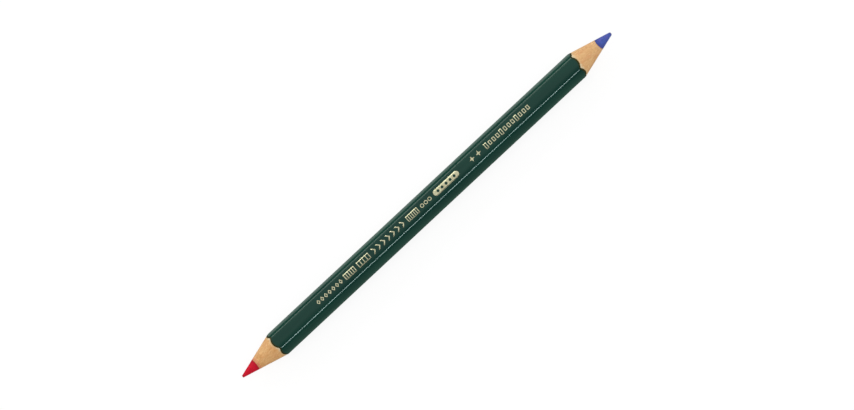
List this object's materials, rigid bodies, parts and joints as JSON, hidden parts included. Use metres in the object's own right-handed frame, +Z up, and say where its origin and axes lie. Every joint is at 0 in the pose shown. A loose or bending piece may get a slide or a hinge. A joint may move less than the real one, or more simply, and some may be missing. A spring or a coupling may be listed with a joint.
{
  "type": "bicolour pencil",
  "caption": "Thick hexagonal wooden pencil in glossy dark green lacquer, sharpened at both ends to a red point and a blue point, with small gold foil marks along one face.",
  "frame": {"origin": "on the surface that the pencil lies on, below the middle of the barrel", "axes": "+X along the barrel from the red point to the blue point, +Z up, square to the face with the foil marks"},
  "size_m": [0.175, 0.0102, 0.0098],
  "materials": {
    "wood": "bare straight-grained pale wood, freshly sharpened",
    "red_core": "waxy red pigment core with a soft sheen",
    "blue_core": "waxy blue pigment core with a soft sheen",
    "glue": "dried wood glue",
    "ground_coat": "matt cream ground coat",
    "lacquer": "glossy dark green lacquer",
    "foil": "pale gold stamping foil"
  },
  "bodies": {
    "root": {"slat_upper": "wood", "slat_lower": "wood", "core_red": "red_core", "core_blue": "blue_core", "glue_film": "glue", "ground_coat": "ground_coat", "lacquer_coat": "lacquer", "foil_diamond_1": "foil", "foil_diamond_2": "foil", "foil_diamond_3": "foil", "foil_diamond_4": "foil", "foil_diamond_5": "foil", "foil_diamond_6": "foil", "foil_diamond_7": "foil", "foil_chevron_1": "foil", "foil_chevron_2": "foil", "foil_chevron_3": "foil", "foil_chevron_4": "foil", "foil_chevron_5": "foil", "foil_chevron_6": "foil", "foil_chevron_7": "foil", "foil_ring_1": "foil", "foil_ring_2": "foil", "foil_ring_3": "foil", "foil_star_1": "foil", "foil_star_2": "foil", "foil_window_1": "foil", "foil_window_2": "foil", "foil_window_3": "foil", "foil_window_4": "foil", "foil_window_5": "foil", "foil_window_6": "foil", "foil_window_7": "foil", "foil_window_8": "foil", "foil_window_9": "foil", "foil_window_10": "foil", "foil_window_11": "foil", "foil_window_12": "foil", "foil_lattice_1": "foil", "foil_lattice_2": "foil", "foil_lattice_3": "foil", "foil_capsule": "foil"}
  },
  "joints": []
}
